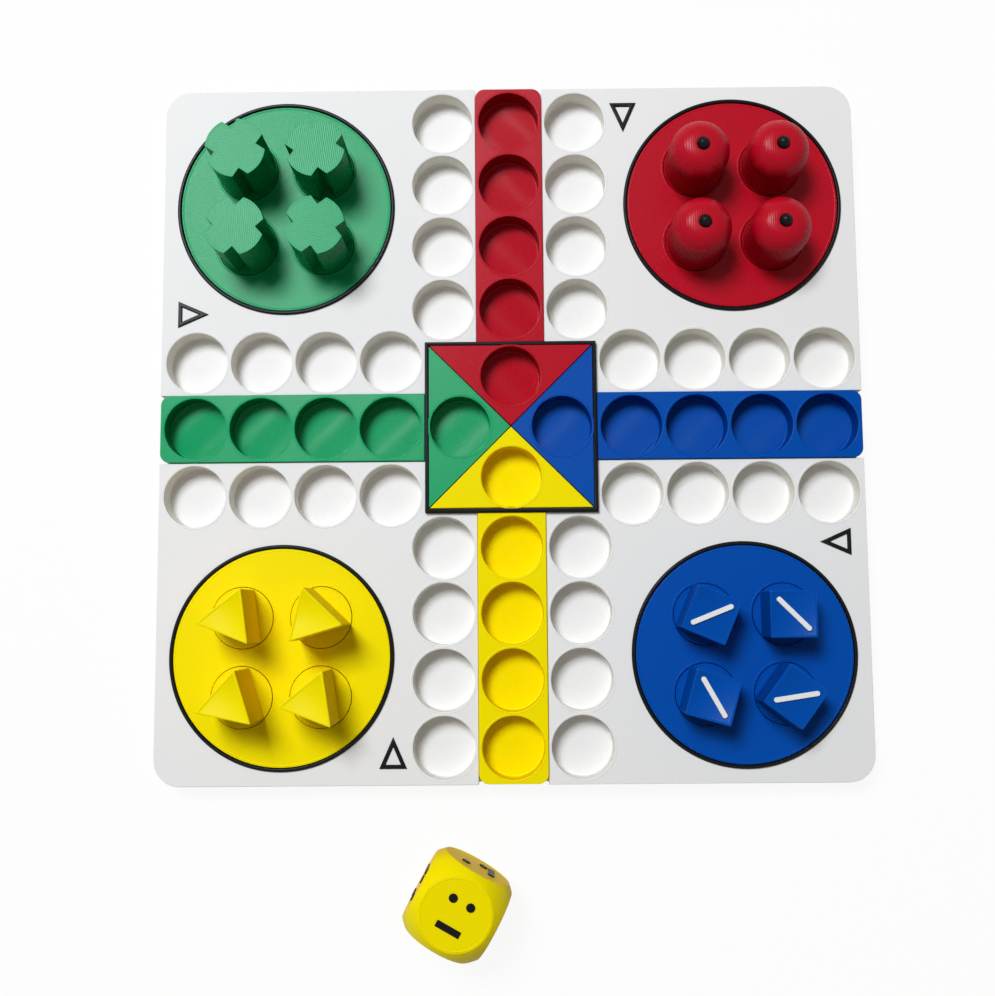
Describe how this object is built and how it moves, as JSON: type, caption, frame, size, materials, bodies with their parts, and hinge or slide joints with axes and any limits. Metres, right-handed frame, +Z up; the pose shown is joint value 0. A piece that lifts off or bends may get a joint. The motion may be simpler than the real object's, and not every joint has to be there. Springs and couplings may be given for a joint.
{
  "type": "ludo board game set",
  "caption": "Tactile ludo set printed in plastic: white square board with round cups, coloured tracks, home discs and goal tiles, shaped lift-out pawns and a rounded die with raised marks.",
  "frame": {"origin": "centre of the board's flat underside", "axes": "+Z up out of the board's top; +Y along the red track towards the board's back edge; +X along the blue track"},
  "size_m": [0.216, 0.2655, 0.0304],
  "materials": {
    "white_print": "satin printed plastic with fine layer lines and a slanting raster on its flat tops",
    "black_print": "satin printed plastic with fine layer lines and a slanting raster on its flat tops",
    "red_print": "satin printed plastic with fine layer lines and a slanting raster on its flat tops",
    "green_print": "satin printed plastic with fine layer lines and a slanting raster on its flat tops",
    "yellow_print": "satin printed plastic with fine layer lines and a slanting raster on its flat tops",
    "blue_print": "satin printed plastic with fine layer lines and a slanting raster on its flat tops"
  },
  "bodies": {
    "board": {"base_sheet": "white_print", "goal_frame": "black_print", "white_field_red": "white_print", "red_track": "red_print", "red_goal_tile": "red_print", "red_home_disc": "red_print", "red_home_ring": "black_print", "red_start_arrow": "black_print", "white_field_green": "white_print", "green_track": "green_print", "green_goal_tile": "green_print", "green_home_disc": "green_print", "green_home_ring": "black_print", "green_start_arrow": "black_print", "white_field_yellow": "white_print", "yellow_track": "yellow_print", "yellow_goal_tile": "yellow_print", "yellow_home_disc": "yellow_print", "yellow_home_ring": "black_print", "yellow_start_arrow": "black_print", "white_field_blue": "white_print", "blue_track": "blue_print", "blue_goal_tile": "blue_print", "blue_home_disc": "blue_print", "blue_home_ring": "black_print", "blue_start_arrow": "black_print"},
    "red_pawn_1": {"red_pawn_1": "red_print", "red_pawn_1_dot": "black_print"},
    "red_pawn_2": {"red_pawn_2": "red_print", "red_pawn_2_dot": "black_print"},
    "red_pawn_3": {"red_pawn_3": "red_print", "red_pawn_3_dot": "black_print"},
    "red_pawn_4": {"red_pawn_4": "red_print", "red_pawn_4_dot": "black_print"},
    "green_pawn_1": {"green_pawn_1": "green_print"},
    "green_pawn_2": {"green_pawn_2": "green_print"},
    "green_pawn_3": {"green_pawn_3": "green_print"},
    "green_pawn_4": {"green_pawn_4": "green_print"},
    "yellow_pawn_1": {"yellow_pawn_1": "yellow_print"},
    "yellow_pawn_2": {"yellow_pawn_2": "yellow_print"},
    "yellow_pawn_3": {"yellow_pawn_3": "yellow_print"},
    "yellow_pawn_4": {"yellow_pawn_4": "yellow_print"},
    "blue_pawn_1": {"blue_pawn_1": "blue_print", "blue_pawn_1_bar": "white_print"},
    "blue_pawn_2": {"blue_pawn_2": "blue_print", "blue_pawn_2_bar": "white_print"},
    "blue_pawn_3": {"blue_pawn_3": "blue_print", "blue_pawn_3_bar": "white_print"},
    "blue_pawn_4": {"blue_pawn_4": "blue_print", "blue_pawn_4_bar": "white_print"},
    "die": {"die": "yellow_print", "die_marks": "black_print"}
  },
  "joints": [
    {"name": "red_pawn_1_lift", "type": "slide", "parent": "board", "child": "red_pawn_1", "axis": [0, 0, 1], "range_m": [0, 0.03]},
    {"name": "red_pawn_2_lift", "type": "slide", "parent": "board", "child": "red_pawn_2", "axis": [0, 0, 1], "range_m": [0, 0.03]},
    {"name": "red_pawn_3_lift", "type": "slide", "parent": "board", "child": "red_pawn_3", "axis": [0, 0, 1], "range_m": [0, 0.03]},
    {"name": "red_pawn_4_lift", "type": "slide", "parent": "board", "child": "red_pawn_4", "axis": [0, 0, 1], "range_m": [0, 0.03]},
    {"name": "green_pawn_1_lift", "type": "slide", "parent": "board", "child": "green_pawn_1", "axis": [0, 0, 1], "range_m": [0, 0.03]},
    {"name": "green_pawn_2_lift", "type": "slide", "parent": "board", "child": "green_pawn_2", "axis": [0, 0, 1], "range_m": [0, 0.03]},
    {"name": "green_pawn_3_lift", "type": "slide", "parent": "board", "child": "green_pawn_3", "axis": [0, 0, 1], "range_m": [0, 0.03]},
    {"name": "green_pawn_4_lift", "type": "slide", "parent": "board", "child": "green_pawn_4", "axis": [0, 0, 1], "range_m": [0, 0.03]},
    {"name": "yellow_pawn_1_lift", "type": "slide", "parent": "board", "child": "yellow_pawn_1", "axis": [0, 0, 1], "range_m": [0, 0.03]},
    {"name": "yellow_pawn_2_lift", "type": "slide", "parent": "board", "child": "yellow_pawn_2", "axis": [0, 0, 1], "range_m": [0, 0.03]},
    {"name": "yellow_pawn_3_lift", "type": "slide", "parent": "board", "child": "yellow_pawn_3", "axis": [0, 0, 1], "range_m": [0, 0.03]},
    {"name": "yellow_pawn_4_lift", "type": "slide", "parent": "board", "child": "yellow_pawn_4", "axis": [0, 0, 1], "range_m": [0, 0.03]},
    {"name": "blue_pawn_1_lift", "type": "slide", "parent": "board", "child": "blue_pawn_1", "axis": [0, 0, 1], "range_m": [0, 0.03]},
    {"name": "blue_pawn_2_lift", "type": "slide", "parent": "board", "child": "blue_pawn_2", "axis": [0, 0, 1], "range_m": [0, 0.03]},
    {"name": "blue_pawn_3_lift", "type": "slide", "parent": "board", "child": "blue_pawn_3", "axis": [0, 0, 1], "range_m": [0, 0.03]},
    {"name": "blue_pawn_4_lift", "type": "slide", "parent": "board", "child": "blue_pawn_4", "axis": [0, 0, 1], "range_m": [0, 0.03]},
    {"name": "die_lift", "type": "slide", "parent": "board", "child": "die", "axis": [0, 0, 1], "range_m": [0, 0.03]}
  ]
}
